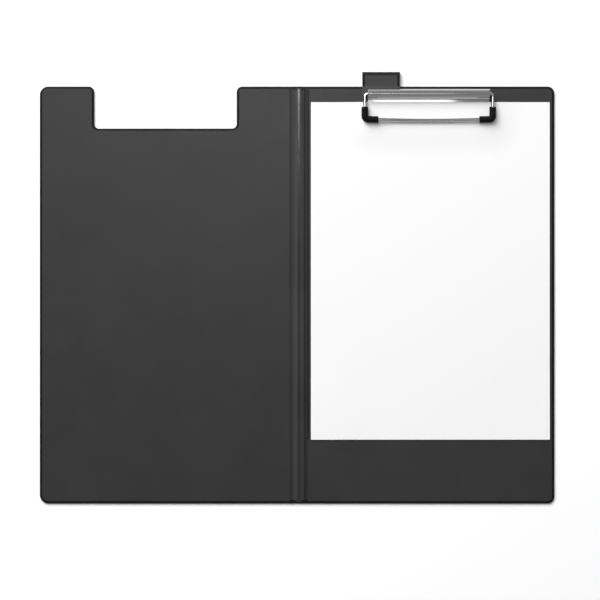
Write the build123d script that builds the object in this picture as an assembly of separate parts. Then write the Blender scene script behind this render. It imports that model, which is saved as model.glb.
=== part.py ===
from build123d import *
import math
import os

# A fold-over clipboard folder, lying open and flat, in millimetres.
# +X is to the right, +Y towards the clip end, and +Z up, away from the table.
# The origin is on the table, under the middle of the open folder's outline.

# Leaves: greyboard sealed between two plastic films
leaf_height = 367.5
back_width = 217.5
cover_width = 220.0
board_thickness = 2.2
film_thickness = 0.35
weld_width = 1.6
back_corner_radius = 6.0
cover_corner_radius = 7.5

# Spine strip and the two creases beside it
spine_width = 9.0
spine_crown = 0.6
crease_width = 3.5
crease_clearance = 0.35

# Clip: one strip of sheet steel, rolled into a tube along its rear edge
clip_length = 107.0
clip_centre_from_crease = 106.5
clip_sheet = 0.8
roll_diameter = 8.8
roll_from_edge = 2.65
roll_end_angle = 218.0
plate_front_from_edge = 33.5
plate_corner_radius = 4.0

# Rivets, sunk in dimples of the plate, and the washers behind them
rivet_spacing = 76.0
rivet_from_edge = 21.0
rivet_diameter = 4.0
rivet_bore = 2.6
rivet_bore_depth = 2.0
rivet_head_diameter = 7.6
rivet_head_height = 0.75
rivet_hole_clearance = 0.1
dimple_clearance = 0.35
clinch_diameter = 6.4
clinch_height = 0.5
clinch_recess = 0.1
washer_diameter = 9.0
washer_thickness = 0.5
washer_clearance = 0.2

# Bail: a sprung wire, its two tails cranked so that they lie one above the other in the roll
wire_diameter = 3.2
arm_spacing = 112.4
bail_reach = 22.25
arm_bend_radius = 2.7
bar_bow_forward = 1.2
tail_gap = 0.1
tail_bend_radius = 8.0
crank_length = 8.5
crank_from_roll_end = 3.5
tail_end_gap = 4.0

# Black grips moulded round the two corners of the bail
grip_diameter = 5.9
grip_leg = 10.8
grip_foot = 11.75
grip_bore_clearance = 0.05
grip_inner_corner_radius = 0.1
grip_end_radius = 0.8

# Notch in the cover, which lets the clip and the pen loop through when it closes
notch_clearance_spine_side = 0.85
notch_clearance_outer_side = 6.35
notch_clearance_below = 4.75
notch_mouth_radius = 5.0
notch_inner_radius = 4.0

# Pen loop: a folded strip of plastic film, its tab under the clip, its eye pressed flat when empty
loop_width = 33.6
loop_side_clearance = 1.2
loop_reach = 12.8
loop_ply = 0.45
loop_eye_height = 4.4
loop_neck_length = 3.6
loop_above_table = 0.4
loop_tab_length = 11.5

# Sheets of writing paper, clamped under the bail
paper_width = 210.0
paper_length = 297.0
paper_stack = 0.3
paper_from_crease = 3.15
paper_from_edge = 14.0
paper_clearance = 0.1
grip_paper_clearance = 0.15

# Heights above the table
leaf_thickness = board_thickness + 2 * film_thickness
mid_height = leaf_thickness / 2
tab_thickness = 2 * loop_ply
plate_underside = leaf_thickness + tab_thickness
plate_top = plate_underside + clip_sheet
paper_underside = plate_top + paper_clearance
paper_top = paper_underside + paper_stack
roll_axis_height = plate_underside + roll_diameter / 2

# The bar bows down so far that its middle and the two grips meet the paper at one height
arm_x = arm_spacing / 2
foot_share = grip_foot / arm_x
corner_bend_radius = grip_diameter / 2 + grip_inner_corner_radius
bar_bow_down = (grip_diameter - wire_diameter) / 2 / (1 - foot_share)
bar_height = paper_top + grip_paper_clearance + grip_diameter / 2 + bar_bow_down * foot_share

# Places across the folder
spine_x = (cover_width - back_width) / 2
back_edge_x = spine_x + spine_width / 2 + crease_width
cover_edge_x = spine_x - spine_width / 2 - crease_width
clip_x = back_edge_x + clip_centre_from_crease

# Places along the folder
top_y = (leaf_height - loop_reach) / 2
roll_y = top_y - roll_from_edge - roll_diameter / 2
bar_y = roll_y - bail_reach
rivet_y = top_y - rivet_from_edge

# The notch, measured from the cover's crease edge and its top edge
bail_half_width = (arm_spacing + grip_diameter) / 2
notch_near = clip_centre_from_crease - bail_half_width - notch_clearance_spine_side
notch_far = clip_centre_from_crease + bail_half_width + notch_clearance_outer_side
notch_depth = top_y - bar_y + grip_diameter / 2 + notch_clearance_below


# A flat slab of an outline, between two heights
def slab(outline, low, high):
    return extrude(Pos(0, 0, low) * outline, amount=high - low)


# The corners of an outline that lie at one of the given x and at the given y
def corners_at(outline, xs, y):
    near = 0.01
    return [v for v in outline.vertices() if abs(v.Y - y) < near and min(abs(v.X - x) for x in xs) < near]


# A leaf seen from above, its crease edge at x = 0 and its top edge at y = 0
def leaf_outline(width, corner_radius, seam_inset, crease_inset):
    across = width - seam_inset - crease_inset
    along = leaf_height - 2 * seam_inset
    outline = Pos(crease_inset + across / 2, -leaf_height / 2) * Rectangle(across, along)
    outer_corners = outline.vertices().sort_by(Axis.X)[-2:]
    return fillet(outer_corners, corner_radius - seam_inset)


# The cover's outline, with its notch cut back by the same inset as its seam
def cover_outline(seam_inset, crease_inset):
    outline = leaf_outline(cover_width, cover_corner_radius, seam_inset, crease_inset)
    sides = (notch_near - seam_inset, notch_far + seam_inset)
    floor_y = -notch_depth - seam_inset
    across = sides[1] - sides[0]
    cutter = Pos(sum(sides) / 2, floor_y / 2) * Rectangle(across, -floor_y)
    outline = outline - cutter
    mouth = corners_at(outline, sides, -seam_inset)
    outline = fillet(mouth, notch_mouth_radius - seam_inset)
    inner = corners_at(outline, sides, floor_y)
    return fillet(inner, notch_inner_radius + seam_inset)


# The lower or upper film of a pocket: flat over the board, round its edge, and out into the weld
def film(seam, raised, board, upper):
    if upper:
        shell = slab(raised, mid_height, leaf_thickness) + slab(seam, mid_height, mid_height + film_thickness)
    else:
        shell = slab(raised, 0, mid_height) + slab(seam, mid_height - film_thickness, mid_height)
    return shell - board


# Places a leaf drawn from its crease edge on the right or the left of the spine
def place_back(shape):
    return Pos(back_edge_x, top_y, 0) * shape


def place_cover(shape):
    return Pos(cover_edge_x, top_y, 0) * mirror(shape, about=Plane.YZ)


# Every rivet's place, seen from above
def rivet_places():
    return [(clip_x + side * rivet_spacing / 2, rivet_y) for side in (-1, 1)]


# A round bar or hole at each rivet, between two heights
def at_rivets(diameter, low, high):
    discs = [Pos(x, y, (low + high) / 2) * Cylinder(diameter / 2, high - low) for x, y in rivet_places()]
    return discs[0] + discs[1]


# Heights of the washers and of the dimples' floors, and the width of the rivets' holes
washer_low = clinch_recess + clinch_height
washer_high = washer_low + washer_thickness
dimple_floor = leaf_thickness + clip_sheet
rivet_hole_diameter = rivet_diameter + 2 * rivet_hole_clearance


# What the rivets and the sunk washers take out of the back leaf
def rivet_cuts():
    through = at_rivets(rivet_hole_diameter, -1, leaf_thickness + 1)
    recess = at_rivets(washer_diameter + 2 * washer_clearance, -1, washer_high)
    return through + recess


def make_back_leaf():
    wall = weld_width + film_thickness
    seam = leaf_outline(back_width, back_corner_radius, 0, 0)
    raised = leaf_outline(back_width, back_corner_radius, weld_width, 0)
    core = slab(leaf_outline(back_width, back_corner_radius, wall, film_thickness),
                film_thickness, film_thickness + board_thickness)
    cuts = rivet_cuts()
    return {
        "back_board": place_back(core) - cuts,
        "back_outer_film": place_back(film(seam, raised, core, False)) - cuts,
        "back_inner_film": place_back(film(seam, raised, core, True)) - cuts,
    }


def make_cover():
    wall = weld_width + film_thickness
    seam = cover_outline(0, 0)
    raised = cover_outline(weld_width, 0)
    core = slab(cover_outline(wall, film_thickness), film_thickness, film_thickness + board_thickness)
    return {
        "cover_board": place_cover(core),
        "cover_outer_film": place_cover(film(seam, raised, core, False)),
        "cover_inner_film": place_cover(film(seam, raised, core, True)),
    }


# A bar along the spine with a crowned top, its rear end at a given distance from the top edge
def crowned_bar(width, low, high, end_inset):
    half = width / 2
    sides = Polyline((half, high), (half, low), (-half, low), (-half, high))
    crown = ThreePointArc((-half, high), (0, high + spine_crown), (half, high))
    section = Plane.XZ * make_face([sides, crown])
    length = leaf_height - 2 * end_inset
    return Pos(spine_x, top_y - end_inset, 0) * extrude(section, amount=length)


def make_spine():
    wall = weld_width + film_thickness
    strip_top = leaf_thickness - film_thickness
    strip = crowned_bar(spine_width - 2 * film_thickness, film_thickness, strip_top, wall)
    pocket = crowned_bar(spine_width, 0, leaf_thickness, weld_width)
    seam = Pos(spine_x, top_y - leaf_height / 2) * Rectangle(spine_width, leaf_height)
    half_space = Box(2 * spine_width, 2 * leaf_height, 2 * leaf_thickness)
    above = Pos(spine_x, 0, mid_height + leaf_thickness) * half_space
    below = Pos(spine_x, 0, mid_height - leaf_thickness) * half_space
    upper = (pocket & above) + slab(seam, mid_height, mid_height + film_thickness)
    lower = (pocket & below) + slab(seam, mid_height - film_thickness, mid_height)
    return {
        "spine_strip": strip,
        "spine_inner_film": upper - strip,
        "spine_outer_film": lower - strip,
    }


# The welded films of one crease, held by the spine, a little short of the leaf that they bend towards
def crease_film(side):
    across = crease_width - crease_clearance
    middle_x = spine_x + side * (spine_width + across) / 2
    return Pos(middle_x, top_y - leaf_height / 2, mid_height) * Box(across, leaf_height, 2 * film_thickness)


# The pen loop: an oval eye that closes on its flat tab at the neck
def make_pen_loop():
    radius = loop_eye_height / 2
    neck_y = top_y + loop_ply
    neck_z = leaf_thickness + loop_ply
    near_y = neck_y + loop_neck_length
    far_y = top_y + loop_reach - loop_ply - radius
    eye_z = loop_above_table + loop_ply + radius
    slope = math.degrees(math.atan2(eye_z - neck_z, near_y - neck_y))
    spread = math.degrees(math.asin(radius / math.hypot(near_y - neck_y, eye_z - neck_z)))
    upper_turn = slope + 90 + spread
    lower_turn = slope - 90 - spread

    def on_eye(middle_y, angle):
        turn = math.radians(angle)
        return (middle_y + radius * math.cos(turn), eye_z + radius * math.sin(turn))

    outline = [
        Line((neck_y, neck_z), on_eye(near_y, upper_turn)),
        ThreePointArc(on_eye(near_y, upper_turn), on_eye(near_y, (upper_turn + 90) / 2), on_eye(near_y, 90)),
        Line(on_eye(near_y, 90), on_eye(far_y, 90)),
        ThreePointArc(on_eye(far_y, 90), on_eye(far_y, 0), on_eye(far_y, -90)),
        Line(on_eye(far_y, -90), on_eye(near_y, -90)),
        ThreePointArc(on_eye(near_y, -90), on_eye(near_y, (lower_turn - 90) / 2), on_eye(near_y, lower_turn)),
        Line(on_eye(near_y, lower_turn), (neck_y, neck_z)),
    ]
    eye = make_face(outline)
    wrap = offset(eye, amount=loop_ply, kind=Kind.ARC)
    tab = Pos(neck_y - loop_tab_length / 2, neck_z) * Rectangle(loop_tab_length, tab_thickness)
    section = Plane.YZ * ((wrap + tab) - eye)
    near_x = back_edge_x + notch_near + loop_side_clearance
    return Pos(near_x, 0, 0) * extrude(section, amount=loop_width)


# The clip's plate and roll, from one bent section, with a dimple at each rivet
def make_clip_plate():
    outer = roll_diameter / 2
    inner = outer - clip_sheet
    front_y = top_y - plate_front_from_edge
    axis = (roll_y, roll_axis_height)

    def on_roll(radius, angle):
        turn = math.radians(angle)
        return (axis[0] + radius * math.cos(turn), axis[1] + radius * math.sin(turn))

    half_way = (roll_end_angle - 90) / 2
    outline = [
        Line((front_y, plate_underside), on_roll(outer, -90)),
        ThreePointArc(on_roll(outer, -90), on_roll(outer, half_way), on_roll(outer, roll_end_angle)),
        Line(on_roll(outer, roll_end_angle), on_roll(inner, roll_end_angle)),
        ThreePointArc(on_roll(inner, roll_end_angle), on_roll(inner, half_way), on_roll(inner, -90)),
        Line(on_roll(inner, -90), (front_y, plate_top)),
        Line((front_y, plate_top), (front_y, plate_underside)),
    ]
    section = Plane.YZ * make_face(outline)
    plate = Pos(clip_x - clip_length / 2, 0, 0) * extrude(section, amount=clip_length)
    front_corners = plate.edges().filter_by(Axis.Z).sort_by(Axis.Y)[:2]
    plate = fillet(front_corners, plate_corner_radius)
    dimple = rivet_head_diameter + 2 * dimple_clearance
    feet = at_rivets(dimple + 2 * clip_sheet, leaf_thickness, plate_underside + clip_sheet / 2)
    recess = at_rivets(dimple, dimple_floor, plate_top + 1)
    holes = at_rivets(rivet_hole_diameter, leaf_thickness - 1, plate_top + 1)
    return plate + feet - recess - holes


# Tubular rivets: the head in the plate's dimple, the clinched end on the washer behind
def make_rivets():
    shank = at_rivets(rivet_diameter, clinch_recess, dimple_floor)
    head = at_rivets(rivet_head_diameter, dimple_floor, dimple_floor + rivet_head_height)
    clinch = at_rivets(clinch_diameter, clinch_recess, washer_low)
    bore = at_rivets(rivet_bore, clinch_recess - 1, clinch_recess + rivet_bore_depth)
    return shank + head + clinch - bore


def make_washers():
    discs = at_rivets(washer_diameter, washer_low, washer_high)
    return discs - at_rivets(rivet_hole_diameter, -1, washer_high + 1)


# The bail's corners, the roots of its arms on the roll's axis, and the middle of its bar
corner_left = Vector(clip_x - arm_x, bar_y, bar_height)
corner_right = Vector(clip_x + arm_x, bar_y, bar_height)
root_left = Vector(clip_x - arm_x, roll_y, roll_axis_height)
root_right = Vector(clip_x + arm_x, roll_y, roll_axis_height)
bar_middle = Vector(clip_x, bar_y - bar_bow_forward, bar_height - bar_bow_down)


# A round bar swept along a path
def round_sweep(path, radius):
    start = Plane(origin=path @ 0, z_dir=path % 0)
    return sweep(start * Circle(radius), path=path)


# One tail in the roll, from its far end to its crank, on the side of the root that it belongs to
def tail_route(side, lift):
    crank_out = clip_length / 2 - crank_from_roll_end
    crank_in = crank_out - crank_length
    far_end = tail_end_gap - crank_in
    tail_z = roll_axis_height + lift * (wire_diameter + tail_gap) / 2
    return [
        Vector(clip_x + side * far_end, roll_y, tail_z),
        Vector(clip_x + side * crank_in, roll_y, tail_z),
        Vector(clip_x + side * crank_out, roll_y, roll_axis_height),
    ]


def make_bail_wire():
    half_bar = (bar_middle - corner_left).length
    half_turn = math.asin(math.hypot(bar_bow_forward, bar_bow_down) / half_bar)
    bow_radius = 0.45 * half_bar / math.tan(half_turn)
    front = [root_left, corner_left, bar_middle, corner_right, root_right]
    front_radii = [arm_bend_radius, corner_bend_radius, bow_radius, corner_bend_radius, arm_bend_radius]
    tail_radii = [tail_bend_radius, tail_bend_radius]
    route = tail_route(-1, 1) + front + tail_route(1, -1)[::-1]
    path = FilletPolyline(*route, radius=tail_radii + front_radii + tail_radii)
    return round_sweep(path, wire_diameter / 2)


# One grip: a sleeve on the arm, the corner and the start of the bar
def make_grip(corner, root):
    leg_end = corner + (root - corner).normalized() * grip_leg
    foot_end = corner + (bar_middle - corner).normalized() * grip_foot
    path = FilletPolyline(leg_end, corner, foot_end, radius=corner_bend_radius)
    sleeve = round_sweep(path, grip_diameter / 2)
    ends = sleeve.faces().filter_by(GeomType.PLANE).edges()
    sleeve = fillet(ends, grip_end_radius)
    return sleeve - round_sweep(path, wire_diameter / 2 + grip_bore_clearance)


def make_paper():
    middle_x = back_edge_x + paper_from_crease + paper_width / 2
    middle_y = top_y - paper_from_edge - paper_length / 2
    middle_z = (paper_underside + paper_top) / 2
    return Pos(middle_x, middle_y, middle_z) * Box(paper_width, paper_length, paper_stack)


parts = {
    **make_back_leaf(),
    **make_spine(),
    "back_crease_film": crease_film(1),
    "cover_crease_film": crease_film(-1),
    **make_cover(),
    "pen_loop": make_pen_loop(),
    "clip_plate": make_clip_plate(),
    "clip_rivets": make_rivets(),
    "rivet_washers": make_washers(),
    "bail_wire": make_bail_wire(),
    "corner_grip_left": make_grip(corner_left, root_left),
    "corner_grip_right": make_grip(corner_right, root_right),
    "paper_sheets": make_paper(),
}

os.makedirs("parts", exist_ok=True)
for node, shape in parts.items():
    export_step(shape, f"parts/{node}.step")
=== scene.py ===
import math
import bpy
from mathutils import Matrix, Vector


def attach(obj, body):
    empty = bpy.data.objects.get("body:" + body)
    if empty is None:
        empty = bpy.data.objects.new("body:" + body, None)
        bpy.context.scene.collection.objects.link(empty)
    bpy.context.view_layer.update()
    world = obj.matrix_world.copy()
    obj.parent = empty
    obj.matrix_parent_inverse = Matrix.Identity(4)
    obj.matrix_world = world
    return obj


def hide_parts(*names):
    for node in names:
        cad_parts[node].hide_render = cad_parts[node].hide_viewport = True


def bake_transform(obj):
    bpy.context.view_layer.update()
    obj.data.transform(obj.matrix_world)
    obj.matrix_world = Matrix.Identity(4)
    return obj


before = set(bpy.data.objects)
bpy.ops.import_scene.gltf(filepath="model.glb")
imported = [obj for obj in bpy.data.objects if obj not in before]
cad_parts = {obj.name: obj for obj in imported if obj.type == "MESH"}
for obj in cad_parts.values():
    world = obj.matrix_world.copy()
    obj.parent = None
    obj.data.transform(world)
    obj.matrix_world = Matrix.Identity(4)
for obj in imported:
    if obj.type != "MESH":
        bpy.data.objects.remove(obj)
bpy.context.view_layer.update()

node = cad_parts

# Greyboard stiffeners of the two leaves and the spine. Solid recycled board, cut to shape,
# and sealed between the films before these are welded round it. Only its edge shows, in the
# two washer recesses at the back.
mm = 0.001
board_grey = (0.26, 0.235, 0.205, 1)
board_fleck = (0.15, 0.14, 0.13, 1)
board_tooth = 0.08 * mm


def new_material(name, colour, roughness):
    material = bpy.data.materials.new(name)
    material.use_nodes = True
    shader = material.node_tree.nodes["Principled BSDF"]
    shader.inputs["Base Color"].default_value = colour
    shader.inputs["Roughness"].default_value = roughness
    return material, material.node_tree.nodes, material.node_tree.links, shader


def noise_on_object(nodes, links, scale, detail, stretch=(1, 1, 1)):
    place = nodes.new("ShaderNodeTexCoord")
    mapping = nodes.new("ShaderNodeMapping")
    mapping.inputs["Scale"].default_value = stretch
    noise = nodes.new("ShaderNodeTexNoise")
    noise.inputs["Scale"].default_value = scale
    noise.inputs["Detail"].default_value = detail
    links.new(place.outputs["Object"], mapping.inputs["Vector"])
    links.new(mapping.outputs["Vector"], noise.inputs["Vector"])
    return noise.outputs["Fac"]


def spread(nodes, links, source, low, high, start=0.3, end=0.7):
    stretch = nodes.new("ShaderNodeMapRange")
    stretch.inputs["From Min"].default_value = start
    stretch.inputs["From Max"].default_value = end
    stretch.inputs["To Min"].default_value = low
    stretch.inputs["To Max"].default_value = high
    links.new(source, stretch.inputs["Value"])
    return stretch.outputs["Result"]


def mix_colours(nodes, links, source, low, high, start=0.3, end=0.7):
    ramp = nodes.new("ShaderNodeValToRGB")
    ramp.color_ramp.elements[0].position = start
    ramp.color_ramp.elements[0].color = low
    ramp.color_ramp.elements[1].position = end
    ramp.color_ramp.elements[1].color = high
    links.new(source, ramp.inputs["Fac"])
    return ramp.outputs["Color"]


def add_bump(nodes, links, shader, source, height, under=None):
    bump = nodes.new("ShaderNodeBump")
    bump.inputs["Distance"].default_value = height
    links.new(source, bump.inputs["Height"])
    if under is not None:
        links.new(under.outputs["Normal"], bump.inputs["Normal"])
    links.new(bump.outputs["Normal"], shader.inputs["Normal"])
    return bump


greyboard, nodes, links, shader = new_material("greyboard", board_grey, 0.85)
flecks = noise_on_object(nodes, links, scale=900, detail=4)
board_colour = mix_colours(nodes, links, flecks, board_fleck, board_grey, start=0.35, end=0.55)
links.new(board_colour, shader.inputs["Base Color"])
add_bump(nodes, links, shader, flecks, board_tooth)
for name in ("back_board", "cover_board", "spine_strip"):
    node[name].material_slots[0].material = greyboard


# Back leaf, its two films. Calendered matt PVC over and under the board, welded together round
# three sides in a flat smooth band, and on the fourth running on into the crease. The weld band is a
# darker vinyl, and the dark runs on over the rounded shoulder as painted shade. Beside the crease, a
# strip along the sheet is dark as the painted shadow of the sheet's edge. The lower film is punched
# for the washers, the upper one for the rivets.
leaf_low = -190.15 * mm
leaf_high = 177.35 * mm
back_near = 9.25 * mm
back_far = 226.75 * mm
back_corner = 6.0 * mm
mid_height = 1.45 * mm
film_thickness = 0.35 * mm
weld_width = 1.6 * mm
weld_reach = 2.4 * mm
sheet_shadow_width = 1.2 * mm
sheet_foot = -133.65 * mm
shoulder_height = 1.44 * mm
crease_foot = -0.75 * mm
rivet_places = ((77.75 * mm, 156.35 * mm), (153.75 * mm, 156.35 * mm))
rivet_hole = 4.2 * mm
washer_hole = 9.4 * mm
corner_segments = 10
post_sides = 48
smooth_angle = math.radians(38)
same_place = 0.02 * mm
film_section = (
    (0, 0.21), (0.07, 0.1), (0.09, 0.04), (1.0, 0), (0.1, -0.1), (0.12, 0), (0.12, 0.11), (0.06, 0.1),
    (0.04, 0.14), (0, 0.29), (0.04, 0.16), (0.09, 0.14), (0.13, 0.12), (0.17, 0.09), (0.2, 0.05), (0.4, 0),
)
vinyl_gloss = (0.36, 0.42)
vinyl_grain = 0.05 * mm
vinyl_waves = 0.1 * mm
vinyl_shine = 0.3
vinyl_dark = (0.0225, 0.0225, 0.0228, 1)
vinyl_light = (0.0265, 0.0265, 0.0269, 1)
weld_gloss = (0.4, 0.5)
weld_grain = 0.012 * mm
weld_shine = 0.2
# Dark weld vinyl: the weld's own darker colour. The same material is laid as painted shade on the shoulders,
# the crease and spine ends and the pen loop, and as painted shadow beside the sheet.
weld_and_shade_dark = (0.0045, 0.0045, 0.0047, 1)
weld_and_shade_light = (0.007, 0.007, 0.0072, 1)


def deselect_all():
    bpy.ops.object.select_all(action="DESELECT")


def name_piece(name):
    piece = bpy.context.object
    piece.name = name
    piece.data.name = name
    return piece


def pick(piece):
    deselect_all()
    bpy.context.view_layer.objects.active = piece
    piece.select_set(True)


def edit(piece):
    pick(piece)
    bpy.ops.object.mode_set(mode="EDIT")
    bpy.ops.mesh.select_mode(type="FACE")
    bpy.ops.mesh.select_all(action="DESELECT")


def leave_edit():
    bpy.ops.object.mode_set(mode="OBJECT")


def choose(piece, kind, test):
    bpy.ops.object.mode_set(mode="OBJECT")
    mesh = piece.data
    for group in (mesh.vertices, mesh.edges, mesh.polygons):
        for element in group:
            element.select = False
    if kind == "VERT":
        for vertex in mesh.vertices:
            vertex.select = test(vertex.co)
    if kind == "EDGE":
        for edge in mesh.edges:
            ends = [mesh.vertices[i].co for i in edge.vertices]
            edge.select = test(*ends)
    if kind == "FACE":
        for face in mesh.polygons:
            face.select = test(face)
    bpy.ops.object.mode_set(mode="EDIT")
    bpy.ops.mesh.select_mode(type=kind)


def add_plate(name, low, high, height):
    deselect_all()
    middle = ((low[0] + high[0]) / 2, (low[1] + high[1]) / 2, height)
    bpy.ops.mesh.primitive_plane_add(size=1, location=middle)
    piece = name_piece(name)
    piece.scale = (high[0] - low[0], high[1] - low[1], 1)
    bpy.ops.object.transform_apply(location=True, rotation=True, scale=True)
    return piece


def round_corners(piece, places, radius):
    choose(piece, "VERT", lambda co: any((co.xy - Vector(p)).length < same_place for p in places))
    bpy.ops.mesh.bevel(affect="VERTICES", offset=radius, segments=corner_segments, profile=0.5)


def cut_away(place, direction):
    bpy.ops.mesh.select_all(action="SELECT")
    bpy.ops.mesh.bisect(plane_co=place, plane_no=direction, clear_outer=True)


def cut_across(place, direction):
    bpy.ops.mesh.select_all(action="SELECT")
    bpy.ops.mesh.bisect(plane_co=place, plane_no=direction)


def raise_pocket(piece):
    bpy.ops.mesh.select_mode(type="FACE")
    bpy.ops.mesh.select_all(action="SELECT")
    for inward, upward in film_section:
        bpy.ops.mesh.inset(thickness=inward * mm, depth=upward * mm, use_even_offset=True)


def add_modifier(piece, kind, **values):
    pick(piece)
    modifier = piece.modifiers.new(kind.title(), kind)
    for key, value in values.items():
        setattr(modifier, key, value)
    bpy.ops.object.modifier_apply(modifier=modifier.name)


def add_post(place, low, high, diameter):
    deselect_all()
    middle = (place[0], place[1], (low + high) / 2)
    bpy.ops.mesh.primitive_cylinder_add(vertices=post_sides, radius=diameter / 2, depth=high - low,
                                        location=middle)
    return name_piece("post")


def join_or_cut(piece, operation, low, high, diameter):
    posts = [add_post(place, low, high, diameter) for place in rivet_places]
    for post in posts:
        add_modifier(piece, "BOOLEAN", object=post, operation=operation, solver="EXACT")
        bpy.data.objects.remove(post, do_unlink=True)


def smooth(piece):
    pick(piece)
    bpy.ops.object.shade_smooth_by_angle(angle=smooth_angle)
    add_modifier(piece, "WEIGHTED_NORMAL", keep_sharp=True)


def copy_below(piece, name):
    pick(piece)
    bpy.ops.object.duplicate()
    lower = name_piece(name)
    edit(lower)
    bpy.ops.mesh.select_all(action="SELECT")
    bpy.ops.transform.resize(value=(1, 1, -1), center_override=(0, 0, mid_height))
    bpy.ops.mesh.flip_normals()
    leave_edit()
    return lower


def make_vinyl(name, grain_height, gloss, dark, light, shine):
    material, nodes, links, shader = new_material(name, dark, gloss[0])
    shader.inputs["Specular IOR Level"].default_value = shine
    cloudy = noise_on_object(nodes, links, scale=14, detail=5)
    links.new(mix_colours(nodes, links, cloudy, dark, light), shader.inputs["Base Color"])
    rubbed = noise_on_object(nodes, links, scale=55, detail=6)
    links.new(spread(nodes, links, rubbed, *gloss), shader.inputs["Roughness"])
    waves = add_bump(nodes, links, shader, noise_on_object(nodes, links, scale=38, detail=2), vinyl_waves)
    grain = noise_on_object(nodes, links, scale=1500, detail=3)
    add_bump(nodes, links, shader, grain, grain_height, under=waves)
    return material


matt_vinyl = make_vinyl("matt_vinyl", vinyl_grain, vinyl_gloss, vinyl_dark, vinyl_light, vinyl_shine)
weld_and_shade_vinyl = make_vinyl("weld_and_shade_vinyl", weld_grain, weld_gloss, weld_and_shade_dark, weld_and_shade_light, weld_shine)


def paint_film(piece, crease_sides):
    piece.data.materials.clear()
    piece.data.materials.append(matt_vinyl)
    piece.data.materials.append(weld_and_shade_vinyl)
    for face in piece.data.polygons:
        place = face.center
        at_end = min(place.y - leaf_low, leaf_high - place.y) < weld_reach
        beside_crease = min(abs(place.x - side) for side in crease_sides) < weld_reach
        # The flat weld band is its own darker vinyl; the rounded shoulder up to shoulder_height takes the
        # same dark as painted shade.
        dark_face = abs(place.z - mid_height) < shoulder_height and (at_end or not beside_crease)
        # On the back films, the strip beside the crease is dark along the sheet: the painted shadow of the
        # sheet's edge.
        if piece.name.startswith("back") and place.x < back_near + sheet_shadow_width:
            dark_face = at_end or place.y > sheet_foot
        face.material_index = 1 if dark_face else 0


def finish_film(piece, body, replaced, crease_sides):
    add_modifier(piece, "SOLIDIFY", thickness=film_thickness, offset=-1, use_even_offset=False)
    paint_film(piece, crease_sides)
    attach(piece, body)
    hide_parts(replaced)


back_raw = back_near + crease_foot - weld_width
back_upper = add_plate("back_upper_vinyl", (back_raw, leaf_low), (back_far, leaf_high), mid_height)
edit(back_upper)
round_corners(back_upper, [(back_far, leaf_low), (back_far, leaf_high)], back_corner)
raise_pocket(back_upper)
cut_away((back_near, 0, 0), (-1, 0, 0))
cut_across((back_near + sheet_shadow_width, 0, 0), (1, 0, 0))
cut_across((0, sheet_foot, 0), (0, 1, 0))
leave_edit()
back_lower = copy_below(back_upper, "back_lower_vinyl")
finish_film(back_upper, "back_leaf", "back_inner_film", [back_near])
finish_film(back_lower, "back_leaf", "back_outer_film", [back_near])
join_or_cut(back_upper, "DIFFERENCE", low=2 * mm, high=4 * mm, diameter=rivet_hole)
join_or_cut(back_lower, "DIFFERENCE", low=-1 * mm, high=1.2 * mm, diameter=washer_hole)
smooth(back_upper)
smooth(back_lower)


# Spine, its two films over a narrow strip of board. The upper film is crowned and polished along
# its crown by handling; beside the crown near both ends it carries painted shade. The films end in
# the same weld as the leaves' films, at the top and the bottom edge.
spine_near = -3.25 * mm
spine_far = 5.75 * mm
spine_crown = 0.45 * mm
spine_middle = 1.6 * mm
crown_half = 3.7 * mm
crown_lines = 10
crown_polish = (1.0 * mm, 2.6 * mm)
crown_gloss = (0.17, 0.66)
crown_grain = 0.006 * mm
crown_shine = 0.5
crown_mark = 1.4 * mm
# Darker vinyl tone of the spine and the creases; in the creases it is painted shade.
hinge_dark = (0.0135, 0.0135, 0.0137, 1)
end_shade_length = 3.2 * mm
spine_flat = 2.87 * mm

spine_upper = add_plate("spine_upper_vinyl", (spine_near + crease_foot - weld_width, leaf_low),
                        (spine_far - crease_foot + weld_width, leaf_high), mid_height)
edit(spine_upper)
raise_pocket(spine_upper)
cut_away((spine_near, 0, 0), (-1, 0, 0))
cut_away((spine_far, 0, 0), (1, 0, 0))
leave_edit()
spine_lower = copy_below(spine_upper, "spine_lower_vinyl")
edit(spine_upper)
crown_shares = [2 * line / crown_lines - 1 for line in range(1, crown_lines)]
for share in crown_shares:
    cut_across((spine_middle + crown_half * share, 0, 0), (1, 0, 0))
cut_across((0, leaf_low + end_shade_length, 0), (0, 1, 0))
cut_across((0, leaf_high - end_shade_length, 0), (0, 1, 0))
for share in crown_shares:
    line_x = spine_middle + crown_half * share
    choose(spine_upper, "VERT", lambda co: abs(co.x - line_x) < same_place and co.z > spine_flat)
    bpy.ops.transform.translate(value=(0, 0, spine_crown * (1 - share * share)))
leave_edit()
finish_film(spine_upper, "spine", "spine_inner_film", [spine_near, spine_far])
finish_film(spine_lower, "spine", "spine_outer_film", [spine_near, spine_far])


def polish_crown(material):
    nodes = material.node_tree.nodes
    links = material.node_tree.links
    place = nodes.new("ShaderNodeTexCoord")
    apart = nodes.new("ShaderNodeSeparateXYZ")
    from_middle = nodes.new("ShaderNodeMath")
    from_middle.operation = "SUBTRACT"
    from_middle.inputs[1].default_value = spine_middle
    width = nodes.new("ShaderNodeMath")
    width.operation = "ABSOLUTE"
    links.new(place.outputs["Object"], apart.inputs["Vector"])
    links.new(apart.outputs["X"], from_middle.inputs[0])
    links.new(from_middle.outputs[0], width.inputs[0])
    gloss = spread(nodes, links, width.outputs[0], *crown_gloss, *crown_polish)
    links.new(gloss, nodes["Principled BSDF"].inputs["Roughness"])


polished_vinyl = make_vinyl("polished_vinyl", crown_grain, vinyl_gloss, hinge_dark, vinyl_light, crown_shine)
polish_crown(polished_vinyl)
spine_upper.data.materials[0] = polished_vinyl
# Beside the crown near both ends the dark vinyl is laid as painted shade.
for face in spine_upper.data.polygons:
    at_end = min(face.center.y - leaf_low, leaf_high - face.center.y) < end_shade_length
    if at_end and abs(face.center.x - spine_middle) > crown_mark:
        face.material_index = 1
smooth(spine_upper)
smooth(spine_lower)
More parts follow.
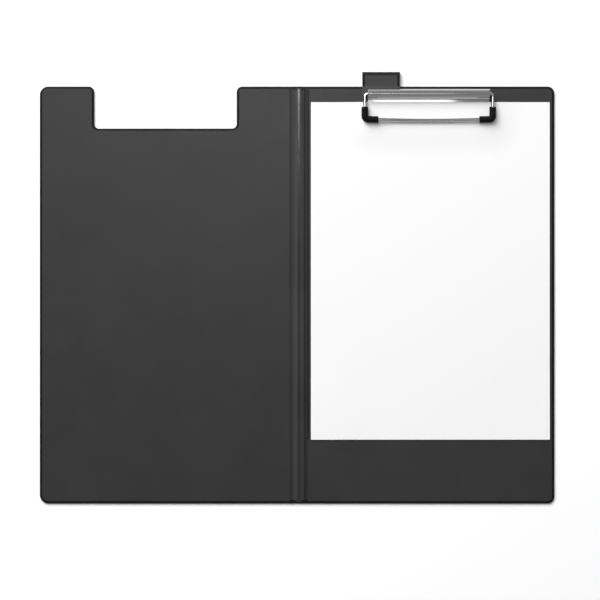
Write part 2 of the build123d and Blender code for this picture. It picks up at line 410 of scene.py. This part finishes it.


# Creases, one each side of the spine. The films run on from the leaf to the spine with no board
# between them and sink to a shallow hollow, the hinge. They are pressed flat at the top and the
# bottom edge. Their colour is darker than the leaves' as painted shade of the hollow, dark at both
# ends as painted shade, and darker still as painted shade in the crease beside the sheet.
crease_steps = 14
crease_side_height = 1.44 * mm
crease_floor_height = 1.27 * mm
crease_end_height = 0.35 * mm
crease_end_rows = ((1.3, 0), (1.7, 0.12), (2.1, 0.45), (2.6, 0.8), (3.2, 0.96), (4.0, 1))
crease_grain = 0.02 * mm
crease_gloss = (0.42, 0.5)
back_crease_gloss = (0.46, 0.54)
back_crease_shine = 0.25
# Darkest tone of the crease beside the sheet: painted shade.
crease_shade_dark = (0.0095, 0.0095, 0.0097, 1)
# Cover crease vinyl, darker than the leaves' as painted shade of the hollow.
crease_vinyl = make_vinyl("crease_vinyl", crease_grain, crease_gloss, hinge_dark, vinyl_dark, vinyl_shine)
worn_crease_vinyl = make_vinyl("worn_crease_vinyl", crease_grain, back_crease_gloss, crease_shade_dark, hinge_dark,
                               back_crease_shine)


def crease_height(share, from_end):
    rise = 1.0
    for (near, low), (far, high) in zip(((0, 0),) + crease_end_rows, crease_end_rows):
        if near * mm - same_place / 2 <= from_end <= far * mm + same_place / 2:
            rise = low + (high - low) * (from_end / mm - near) / (far - near)
    depth = crease_side_height - crease_floor_height
    hollow = crease_side_height - depth * math.sin(math.pi * share) ** 2
    return crease_end_height + (hollow - crease_end_height) * rise


def on_rim(a, b, near, far):
    along_side = abs(a.x - b.x) < same_place and min(abs(a.x - near), abs(a.x - far)) < same_place
    along_end = abs(a.y - b.y) < same_place and min(abs(a.y - leaf_low), abs(a.y - leaf_high)) < same_place
    return along_side or along_end


def make_crease(name, near, far, replaced, material):
    crease = add_plate(name, (near, leaf_low), (far, leaf_high), mid_height)
    edit(crease)
    for step in range(1, crease_steps):
        cut_across((near + (far - near) * step / crease_steps, 0, 0), (1, 0, 0))
    for row, _ in crease_end_rows:
        cut_across((0, leaf_low + row * mm, 0), (0, 1, 0))
        cut_across((0, leaf_high - row * mm, 0), (0, 1, 0))
    bpy.ops.mesh.select_all(action="SELECT")
    bpy.ops.mesh.duplicate()
    bpy.ops.transform.translate(value=(0, 0, 2 * mm))
    choose(crease, "EDGE", lambda a, b: on_rim(a, b, near, far))
    bpy.ops.mesh.bridge_edge_loops()
    leave_edit()
    for vertex in crease.data.vertices:
        side = 1 if vertex.co.z > mid_height + 1 * mm else -1
        from_end = min(vertex.co.y - leaf_low, leaf_high - vertex.co.y)
        vertex.co.z = mid_height + side * crease_height((vertex.co.x - near) / (far - near), from_end)
    edit(crease)
    bpy.ops.mesh.select_all(action="SELECT")
    bpy.ops.mesh.normals_make_consistent(inside=False)
    leave_edit()
    crease.data.materials.append(material)
    crease.data.materials.append(weld_and_shade_vinyl)
    # Both ends of each crease take the dark vinyl as painted shade.
    for face in crease.data.polygons:
        from_end = min(face.center.y - leaf_low, leaf_high - face.center.y)
        face.material_index = 1 if from_end < end_shade_length else 0
    smooth(crease)
    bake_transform(crease)
    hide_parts(replaced)


make_crease("back_crease_vinyl", spine_far, back_near, "back_crease_film",
            worn_crease_vinyl)


# Cover, its two films. As the back leaf, with a notch in its top edge that lets the clip and the
# pen loop through when it closes. The weld runs round the notch as well.
cover_near = -6.75 * mm
cover_far = -226.75 * mm
cover_corner = 7.5 * mm
notch_near = -53.25 * mm
notch_far = -178.75 * mm
notch_floor = 140.35 * mm
notch_mouth = 5.0 * mm
notch_inner = 4.0 * mm

cover_raw = cover_near - crease_foot + weld_width
cover_upper = add_plate("cover_upper_vinyl", (cover_far, leaf_low), (cover_raw, leaf_high), mid_height)
edit(cover_upper)
for line_x in (notch_near, notch_far):
    cut_across((line_x, 0, 0), (1, 0, 0))
cut_across((0, notch_floor, 0), (0, 1, 0))
choose(cover_upper, "FACE",
       lambda face: notch_far < face.center.x < notch_near and face.center.y > notch_floor)
bpy.ops.mesh.delete(type="FACE")
bpy.ops.mesh.select_all(action="SELECT")
bpy.ops.mesh.dissolve_limited(angle_limit=math.radians(1))
round_corners(cover_upper, [(cover_far, leaf_low), (cover_far, leaf_high)], cover_corner)
round_corners(cover_upper, [(notch_near, leaf_high), (notch_far, leaf_high)], notch_mouth)
round_corners(cover_upper, [(notch_near, notch_floor), (notch_far, notch_floor)], notch_inner)
raise_pocket(cover_upper)
cut_away((cover_near, 0, 0), (1, 0, 0))
leave_edit()
cover_lower = copy_below(cover_upper, "cover_lower_vinyl")
finish_film(cover_upper, "cover", "cover_inner_film", [cover_near])
finish_film(cover_lower, "cover", "cover_outer_film", [cover_near])
smooth(cover_upper)
smooth(cover_lower)
make_crease("cover_crease_vinyl", cover_near, spine_near, "cover_crease_film",
            crease_vinyl)


# Pen loop: one strip of vinyl folded over on itself, coloured paler than the leaves as painted light.
# Its two ends lie together as a tab on the back leaf, under the clip, and its eye hangs out beyond the
# top edge. The side borders of the eye are pressed dark, deepened with painted shade, and its curled
# far end is painted dark as shade.
loop_near = 57.45 * mm
loop_far = 90.55 * mm
loop_border = 2.4 * mm
loop_ply = 0.45 * mm
loop_tab_end = 166.3 * mm
loop_neck = (177.8 * mm, 3.35 * mm)
loop_eye = (188.025 * mm, 2.55 * mm)
loop_eye_radius = 1.9 * mm
# Where the painted shade on the curled far end of the eye begins.
loop_shade_start = 187.1 * mm
loop_steps = 30
neck_ease = 0.9 * mm
loop_edge_ease = 0.1 * mm
# Paler than the leaves' vinyl: painted light on the raised loop.
lit_loop_dark = (0.036, 0.036, 0.0365, 1)
lit_loop_light = (0.041, 0.041, 0.0415, 1)
sharp_angle = math.radians(50)


def edge_at(y, z):
    return lambda a, b: max(abs(a.y - y), abs(b.y - y), abs(a.z - z), abs(b.z - z)) < same_place


def pull_edge(y, z):
    bpy.ops.mesh.extrude_region_move(TRANSFORM_OT_translate={"value": (0, y, z)})


def curl_edge(start, centre, turn, steps):
    before = start
    for step in range(1, steps + 1):
        angle = turn * step / steps
        arm_y = start[0] - centre[0]
        arm_z = start[1] - centre[1]
        after = (centre[0] + arm_y * math.cos(angle) - arm_z * math.sin(angle),
                 centre[1] + arm_y * math.sin(angle) + arm_z * math.cos(angle))
        pull_edge(after[0] - before[0], after[1] - before[1])
        before = after


loop_slope = math.atan2(loop_eye[1] - loop_neck[1], loop_eye[0] - loop_neck[0])
loop_run = math.hypot(loop_eye[1] - loop_neck[1], loop_eye[0] - loop_neck[0])
loop_spread = math.asin(loop_eye_radius / loop_run)
loop_straight = loop_run * math.cos(loop_spread)
fall = loop_slope - loop_spread
rise = loop_slope + loop_spread

pen_loop = add_plate("pen_loop_strip", (loop_near, loop_tab_end), (loop_far, loop_neck[0]),
                     loop_neck[1] - loop_ply / 2)
edit(pen_loop)
choose(pen_loop, "EDGE", edge_at(loop_neck[0], loop_neck[1] - loop_ply / 2))
lower_touch = (loop_neck[0] + loop_straight * math.cos(fall), loop_neck[1] + loop_straight * math.sin(fall))
pull_edge(lower_touch[0] - loop_neck[0], lower_touch[1] - loop_neck[1] + loop_ply / 2)
curl_edge(lower_touch, loop_eye, math.pi - fall + rise, loop_steps)
pull_edge(-loop_straight * math.cos(rise), loop_ply / 2 - loop_straight * math.sin(rise))
pull_edge(loop_tab_end - loop_neck[0], 0)
choose(pen_loop, "EDGE", lambda a, b: abs(a.y - loop_neck[0]) + abs(b.y - loop_neck[0]) < same_place)
bpy.ops.mesh.bevel(affect="EDGES", offset=neck_ease, segments=5)
leave_edit()
add_modifier(pen_loop, "SOLIDIFY", thickness=loop_ply, offset=0)
add_modifier(pen_loop, "BEVEL", width=loop_edge_ease, segments=2, limit_method="ANGLE",
             angle_limit=sharp_angle)
edit(pen_loop)
cut_across((0, loop_shade_start, 0), (0, 1, 0))
cut_across((loop_near + loop_border, 0, 0), (1, 0, 0))
cut_across((loop_far - loop_border, 0, 0), (1, 0, 0))
leave_edit()
lit_loop_vinyl = make_vinyl("lit_loop_vinyl", vinyl_grain, vinyl_gloss, lit_loop_dark, lit_loop_light, vinyl_shine)
pen_loop.data.materials.append(lit_loop_vinyl)
pen_loop.data.materials.append(weld_and_shade_vinyl)
# Side borders take the dark vinyl, pressed dark and deepened with painted shade; the curled far end takes it
# as painted shade.
for face in pen_loop.data.polygons:
    at_side = not loop_near + loop_border < face.center.x < loop_far - loop_border
    at_end = face.center.y > loop_shade_start
    face.material_index = 1 if (at_side or at_end) and face.center.y > leaf_high else 0
smooth(pen_loop)
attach(pen_loop, "back_leaf")
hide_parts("pen_loop")


# Clip plate: one strip of chromed spring steel. It lies flat under the paper, is drawn down into a
# dimple at each rivet, and is rolled into a tube along its rear edge to hold the bail.
clip_near = 62.25 * mm
clip_far = 169.25 * mm
clip_front = 143.85 * mm
clip_sheet = 0.8 * mm
clip_top = 4.6 * mm
clip_corner = 4.0 * mm
roll_axis = (170.3 * mm, 8.2 * mm)
roll_turn = math.radians(308)
roll_steps = 56
boss_foot = 2.9 * mm
boss_top = 4.2 * mm
boss_diameter = 9.9 * mm
dimple_floor = 3.7 * mm
dimple_diameter = 8.3 * mm
clip_clear = 5.5 * mm
clip_edge_ease = 0.14 * mm
chrome_colour = (0.5, 0.5, 0.505, 1)
chrome_gloss = (0.035, 0.085)

clip_plate = add_plate("clip_plate_steel", (clip_near, clip_front), (clip_far, roll_axis[0]), clip_top)
edit(clip_plate)
round_corners(clip_plate, [(clip_near, clip_front), (clip_far, clip_front)], clip_corner)
choose(clip_plate, "EDGE", edge_at(roll_axis[0], clip_top))
curl_edge((roll_axis[0], clip_top), roll_axis, roll_turn, roll_steps)
bpy.ops.mesh.select_all(action="SELECT")
bpy.ops.mesh.remove_doubles(threshold=0.001 * mm)
leave_edit()
add_modifier(clip_plate, "SOLIDIFY", thickness=clip_sheet, offset=-1)
join_or_cut(clip_plate, "UNION", low=boss_foot, high=boss_top, diameter=boss_diameter)
join_or_cut(clip_plate, "DIFFERENCE", low=dimple_floor, high=clip_clear, diameter=dimple_diameter)
join_or_cut(clip_plate, "DIFFERENCE", low=2 * mm, high=clip_clear, diameter=rivet_hole)
add_modifier(clip_plate, "BEVEL", width=clip_edge_ease, segments=3, limit_method="ANGLE",
             angle_limit=sharp_angle)
smooth(clip_plate)


def make_chrome(name, ripple, stretch):
    material, nodes, links, shader = new_material(name, chrome_colour, chrome_gloss[0])
    shader.inputs["Metallic"].default_value = 1
    smears = noise_on_object(nodes, links, scale=30, detail=6, stretch=stretch)
    links.new(spread(nodes, links, smears, *chrome_gloss), shader.inputs["Roughness"])
    waves = noise_on_object(nodes, links, scale=60, detail=2, stretch=stretch)
    rolled = add_bump(nodes, links, shader, waves, ripple)
    fine = noise_on_object(nodes, links, scale=700, detail=4, stretch=stretch)
    add_bump(nodes, links, shader, fine, ripple / 80, under=rolled)
    return material


chromed_sheet = make_chrome("chromed_sheet", ripple=0.03 * mm, stretch=(0.25, 1, 1))
clip_plate.data.materials.append(chromed_sheet)
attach(clip_plate, "back_leaf")
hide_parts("clip_plate")


# Two tubular rivets through the plate, the board and a washer behind it. Plain steel, headed in
# the plate's dimples and clinched over the washers.
rivet_grey = (0.42, 0.42, 0.41, 1)
rivet_tarnish = (0.33, 0.32, 0.31, 1)
rivet_grain = 0.02 * mm

rivet_steel, nodes, links, shader = new_material("rivet_steel", rivet_grey, 0.3)
shader.inputs["Metallic"].default_value = 1
tarnish = noise_on_object(nodes, links, scale=260, detail=5)
links.new(mix_colours(nodes, links, tarnish, rivet_tarnish, rivet_grey), shader.inputs["Base Color"])
links.new(spread(nodes, links, tarnish, low=0.24, high=0.42), shader.inputs["Roughness"])
add_bump(nodes, links, shader, noise_on_object(nodes, links, scale=1200, detail=3), rivet_grain)
for name in ("clip_rivets", "rivet_washers"):
    node[name].material_slots[0].material = rivet_steel


# Bail: one length of chromed spring wire. Its two tails lie in the rolled tube and twist like a
# torsion spring, and its bar bows down to press the paper on the plate.
clip_middle = 115.75 * mm
wire_diameter = 3.2 * mm
arm_spread = 56.2 * mm
bar_y = 148.05 * mm
bar_height = 8.457 * mm
bow_forward = 1.2 * mm
bow_down = 1.707 * mm
bow_share = 0.45
arm_bend = 2.7 * mm
corner_bend = 3.05 * mm
tail_bend = 8.0 * mm
tail_lift = 1.65 * mm
crank_outer = 50.0 * mm
crank_inner = 41.5 * mm
tail_end = 37.5 * mm
bend_step = math.radians(7)
bend_run = 2.5 * mm

bail_corners = [Vector((clip_middle + side * arm_spread, bar_y, bar_height)) for side in (-1, 1)]
bail_roots = [Vector((clip_middle + side * arm_spread, *roll_axis)) for side in (-1, 1)]
bar_middle = Vector((clip_middle, bar_y - bow_forward, bar_height - bow_down))


def bent_wire(corners, radii):
    line = [corners[0]]
    for before, corner, after, radius in zip(corners, corners[1:], corners[2:], radii):
        back = (before - corner).normalized()
        ahead = (after - corner).normalized()
        turn = math.pi - back.angle(ahead)
        reach = radius * math.tan(turn / 2)
        centre = corner + (back + ahead).normalized() * radius / math.cos(turn / 2)
        start = corner + back * reach - centre
        inward = (corner + ahead * reach - centre) - start * math.cos(turn)
        inward = inward.normalized() * radius
        steps = max(2, math.ceil(turn / bend_step), math.ceil(turn * radius / bend_run))
        for step in range(steps + 1):
            angle = turn * step / steps
            line.append(centre + start * math.cos(angle) + inward * math.sin(angle))
    line.append(corners[-1])
    return line


def sweep_round(name, line, diameter):
    curve = bpy.data.curves.new(name, "CURVE")
    curve.dimensions = "3D"
    curve.bevel_depth = diameter / 2
    curve.bevel_resolution = 8
    curve.use_fill_caps = True
    spline = curve.splines.new("POLY")
    spline.points.add(len(line) - 1)
    for point, place in zip(spline.points, line):
        point.co = (*place, 1)
    piece = bpy.data.objects.new(name, curve)
    bpy.context.collection.objects.link(piece)
    pick(piece)
    bpy.ops.object.convert(target="MESH")
    piece = name_piece(name)
    edit(piece)
    bpy.ops.mesh.select_all(action="SELECT")
    bpy.ops.mesh.remove_doubles(threshold=0.002 * mm)
    bpy.ops.mesh.normals_make_consistent(inside=False)
    leave_edit()
    return piece


def tail_corners(side, lift):
    height = roll_axis[1] + lift * tail_lift
    return [
        Vector((clip_middle - side * tail_end, roll_axis[0], height)),
        Vector((clip_middle + side * crank_inner, roll_axis[0], height)),
        Vector((clip_middle + side * crank_outer, *roll_axis)),
    ]


half_bar = (bar_middle - bail_corners[0]).length
half_turn = math.asin(math.hypot(bow_forward, bow_down) / half_bar)
bow_radius = bow_share * half_bar / math.tan(half_turn)
front = [bail_roots[0], bail_corners[0], bar_middle, bail_corners[1], bail_roots[1]]
route = tail_corners(-1, 1) + front + tail_corners(1, -1)[::-1]
bends = [tail_bend, tail_bend, arm_bend, corner_bend, bow_radius, corner_bend, arm_bend, tail_bend, tail_bend]
bail_wire = sweep_round("bail_wire_chromed", bent_wire(route, bends), wire_diameter)
smooth(bail_wire)
chromed_wire = make_chrome("chromed_wire", ripple=0.012 * mm, stretch=(0.3, 1, 1))
bail_wire.data.materials.append(chromed_wire)
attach(bail_wire, "bail")
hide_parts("bail_wire")


# Corner grips: two black plastic sleeves, pushed on to the wire before it is bent, so that fingers
# and paper meet no bare corner. Moulded, with rounded ends.
grip_diameter = 5.9 * mm
grip_leg = 10.8 * mm
grip_foot = 11.75 * mm
grip_round = 0.8 * mm
grip_black = (0.0025, 0.0025, 0.003, 1)
grip_worn = (0.005, 0.005, 0.0055, 1)
grip_grain = 0.012 * mm

grip_plastic, nodes, links, shader = new_material("grip_plastic", grip_black, 0.45)
shader.inputs["Specular IOR Level"].default_value = 0.09
worn = noise_on_object(nodes, links, scale=180, detail=5)
links.new(spread(nodes, links, worn, low=0.42, high=0.55), shader.inputs["Roughness"])
links.new(mix_colours(nodes, links, worn, grip_black, grip_worn), shader.inputs["Base Color"])
add_bump(nodes, links, shader, noise_on_object(nodes, links, scale=2200, detail=2), grip_grain)

for side, corner, root in zip(("left", "right"), bail_corners, bail_roots):
    leg_end = corner + (root - corner).normalized() * grip_leg
    foot_end = corner + (bar_middle - corner).normalized() * grip_foot
    sleeve_line = bent_wire([leg_end, corner, foot_end], [corner_bend])
    grip = sweep_round(f"corner_grip_{side}_sleeve", sleeve_line, grip_diameter)
    edit(grip)
    choose(grip, "FACE", lambda face: len(face.vertices) > 4)
    bpy.ops.mesh.bevel(affect="EDGES", offset=grip_round, segments=5)
    leave_edit()
    grip.data.materials.append(grip_plastic)
    smooth(grip)
    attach(grip, "bail")
    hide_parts(f"corner_grip_{side}")


# Writing paper: three sheets of plain white A4. They lie on the board, climb over the front edge
# of the plate, and are held down there by the bail. Their lower corners curl up a little.
paper_low = (12.4 * mm, sheet_foot)
paper_high = (222.4 * mm, 163.35 * mm)
sheet_thickness = 0.1 * mm
sheet_pitch = 0.105 * mm
sheet_shifts = ((0, 0), (-0.2, 0.15), (0.15, -0.1))
paper_on_board = 2.98 * mm
paper_on_clip = 4.68 * mm
paper_slope = 26 * mm
left_curl = (60 * mm, 90 * mm, 1.1 * mm)
right_curl = (50 * mm, 70 * mm, 0.7 * mm)
paper_columns = 70
paper_rows = 99
paper_white = (0.9, 0.9, 0.9, 1)
paper_fibre = (0.885, 0.885, 0.885, 1)
paper_tooth = 0.015 * mm

writing_paper, nodes, links, shader = new_material("writing_paper", paper_white, 0.78)
fibres = noise_on_object(nodes, links, scale=700, detail=6)
links.new(mix_colours(nodes, links, fibres, paper_fibre, paper_white), shader.inputs["Base Color"])
links.new(spread(nodes, links, fibres, low=0.72, high=0.84), shader.inputs["Roughness"])
add_bump(nodes, links, shader, fibres, paper_tooth)


def ease(share):
    share = min(max(share, 0), 1)
    return share * share * (3 - 2 * share)


def corner_curl(from_side, from_foot, curl):
    across, along, height = curl
    return height * ease((across - from_side) / across) * ease((along - from_foot) / along)


def paper_height(x, y):
    beside = max(clip_near - x, x - clip_far, 0)
    below = max(clip_front - y, 0)
    lift = (paper_on_clip - paper_on_board) * (1 - ease(math.hypot(beside, below) / paper_slope))
    left = corner_curl(x - paper_low[0], y - paper_low[1], left_curl)
    right = corner_curl(paper_high[0] - x, y - paper_low[1], right_curl)
    return paper_on_board + lift + left + right


for number, (shift_x, shift_y) in enumerate(sheet_shifts):
    sheet = add_plate(f"paper_sheet_{number + 1}", paper_low, paper_high, 0)
    edit(sheet)
    for line in range(1, paper_columns):
        cut_across((paper_low[0] + (paper_high[0] - paper_low[0]) * line / paper_columns, 0, 0), (1, 0, 0))
    for line in range(1, paper_rows):
        cut_across((0, paper_low[1] + (paper_high[1] - paper_low[1]) * line / paper_rows, 0), (0, 1, 0))
    leave_edit()
    for vertex in sheet.data.vertices:
        vertex.co.z = paper_height(vertex.co.x, vertex.co.y) + number * sheet_pitch
        vertex.co.x += shift_x * mm
        vertex.co.y += shift_y * mm
    add_modifier(sheet, "SOLIDIFY", thickness=sheet_thickness, offset=1)
    sheet.data.materials.append(writing_paper)
    smooth(sheet)
    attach(sheet, "paper")
    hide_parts("paper_sheets")


# Studio: a plain white table, a broad soft lamp at the upper left, and two small ones high up,
# beyond the top edge, one in line with the spine and one with the clip. The camera looks straight
# down.
camera_height = 2.2
camera_sensor = 36
view_middle = (2.57 * mm, -10.76 * mm)
view_width = 528.6 * mm
table_size = 12
table_grey = (0.82, 0.82, 0.82, 1)
table_seen = (1, 1, 1, 1)
table_glow = 0.03
room_side = (0.5, 0.5, 0.5, 1)
room_top = (0.34, 0.34, 0.34, 1)

deselect_all()
bpy.ops.mesh.primitive_plane_add(size=table_size, location=(0, 0, 0))
table = name_piece("studio_table")
table_white = bpy.data.materials.new("table_white")
table_white.use_nodes = True
nodes = table_white.node_tree.nodes
links = table_white.node_tree.links
shader = nodes["Principled BSDF"]
shader.inputs["Roughness"].default_value = 0.9
shader.inputs["Specular IOR Level"].default_value = 0
ray = nodes.new("ShaderNodeLightPath")
seen = nodes.new("ShaderNodeMath")
seen.operation = "MAXIMUM"
links.new(ray.outputs["Is Camera Ray"], seen.inputs[0])
links.new(ray.outputs["Is Glossy Ray"], seen.inputs[1])
seen_too = nodes.new("ShaderNodeMath")
seen_too.operation = "MAXIMUM"
links.new(seen.outputs[0], seen_too.inputs[0])
links.new(ray.outputs["Is Transmission Ray"], seen_too.inputs[1])
whiteness = mix_colours(nodes, links, seen_too.outputs[0], table_grey, table_seen, start=0, end=1)
links.new(whiteness, shader.inputs["Base Color"])
glow = nodes.new("ShaderNodeMath")
glow.operation = "MULTIPLY"
glow.inputs[1].default_value = table_glow
links.new(seen_too.outputs[0], glow.inputs[0])
shader.inputs["Emission Color"].default_value = (1, 1, 1, 1)
links.new(glow.outputs[0], shader.inputs["Emission Strength"])
table.data.materials.append(table_white)

world = bpy.data.worlds.new("studio_room")
bpy.context.scene.world = world
world.use_nodes = True
nodes = world.node_tree.nodes
links = world.node_tree.links
direction = nodes.new("ShaderNodeTexCoord")
parts_of = nodes.new("ShaderNodeSeparateXYZ")
links.new(direction.outputs["Generated"], parts_of.inputs["Vector"])
room = mix_colours(nodes, links, parts_of.outputs["Z"], room_side, room_top, start=0.0, end=0.9)
aside = nodes.new("ShaderNodeMath")
aside.operation = "ABSOLUTE"
links.new(parts_of.outputs["X"], aside.inputs[0])
shade = spread(nodes, links, aside.outputs[0], low=1.0, high=0.3, start=0.15, end=0.75)
shaded = nodes.new("ShaderNodeVectorMath")
shaded.operation = "SCALE"
links.new(room, shaded.inputs[0])
links.new(shade, shaded.inputs["Scale"])
links.new(shaded.outputs[0], nodes["Background"].inputs["Color"])
nodes["Background"].inputs["Strength"].default_value = 1.0


def add_lamp(name, place, aim, size, power):
    light = bpy.data.lights.new(name, "AREA")
    light.shape = "RECTANGLE"
    light.size = size[0]
    light.size_y = size[1]
    light.energy = power
    lamp = bpy.data.objects.new(name, light)
    bpy.context.collection.objects.link(lamp)
    lamp.location = place
    lamp.rotation_euler = (Vector(aim) - Vector(place)).to_track_quat("-Z", "Y").to_euler()


add_lamp("lamp_over_spine", place=(-0.02, 0.41, 1.5), aim=(-0.02, 0.41, 0), size=(0.2, 0.24), power=3.0)
add_lamp("lamp_over_clip", place=(0.17, 0.285, 1.5), aim=(0.17, 0.285, 0), size=(0.12, 0.12), power=0.09)
add_lamp("lamp_upper_left", place=(-1.4, 2.2, 2.3), aim=(0, 0, 0), size=(2.5, 2.5), power=150)

camera_data = bpy.data.cameras.new("camera_above")
camera_data.sensor_width = camera_sensor
camera_data.lens = camera_sensor * camera_height / view_width
camera = bpy.data.objects.new("camera_above", camera_data)
camera.location = (*view_middle, camera_height + 2 * mid_height)
bpy.context.collection.objects.link(camera)
bpy.context.scene.camera = camera
bpy.context.scene.view_settings.view_transform = "Standard"
